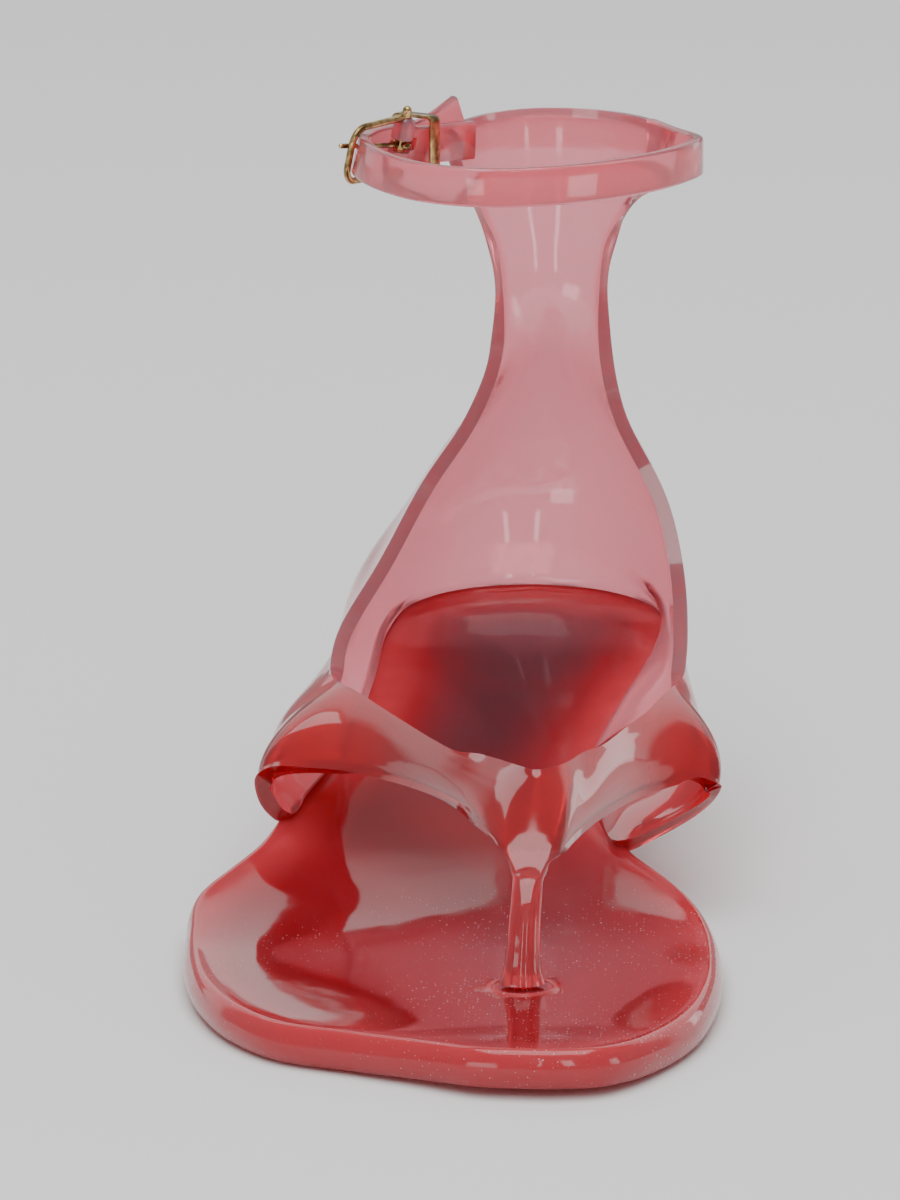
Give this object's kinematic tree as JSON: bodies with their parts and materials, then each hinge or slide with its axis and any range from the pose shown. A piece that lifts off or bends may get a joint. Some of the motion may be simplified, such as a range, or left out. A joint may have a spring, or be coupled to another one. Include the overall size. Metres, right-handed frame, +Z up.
{
  "type": "jelly thong sandal",
  "caption": "Translucent moulded jelly sandal with a toe post, V-shaped straps, a tall open-sided heel counter, a buckled ankle strap and a small heel.",
  "frame": {"origin": "on the floor under the middle of the sandal's box", "axes": "+Z up from the floor, -Y towards the toe tip, +Y towards the heel, +X towards the medial side (inner side of a right foot)"},
  "size_m": [0.1001, 0.2464, 0.1413],
  "materials": {
    "jelly_pvc": "translucent soft PVC, glossy as moulded",
    "lift_rubber": "matte moulded rubber",
    "gold_metal": "gold plated, polished"
  },
  "bodies": {
    "root": {"sole": "jelly_pvc", "heel": "jelly_pvc", "heel_tip": "lift_rubber", "upper": "jelly_pvc", "buckle_frame": "gold_metal", "buckle_bar": "gold_metal", "buckle_prong": "gold_metal", "strap_keeper": "gold_metal"}
  },
  "joints": []
}
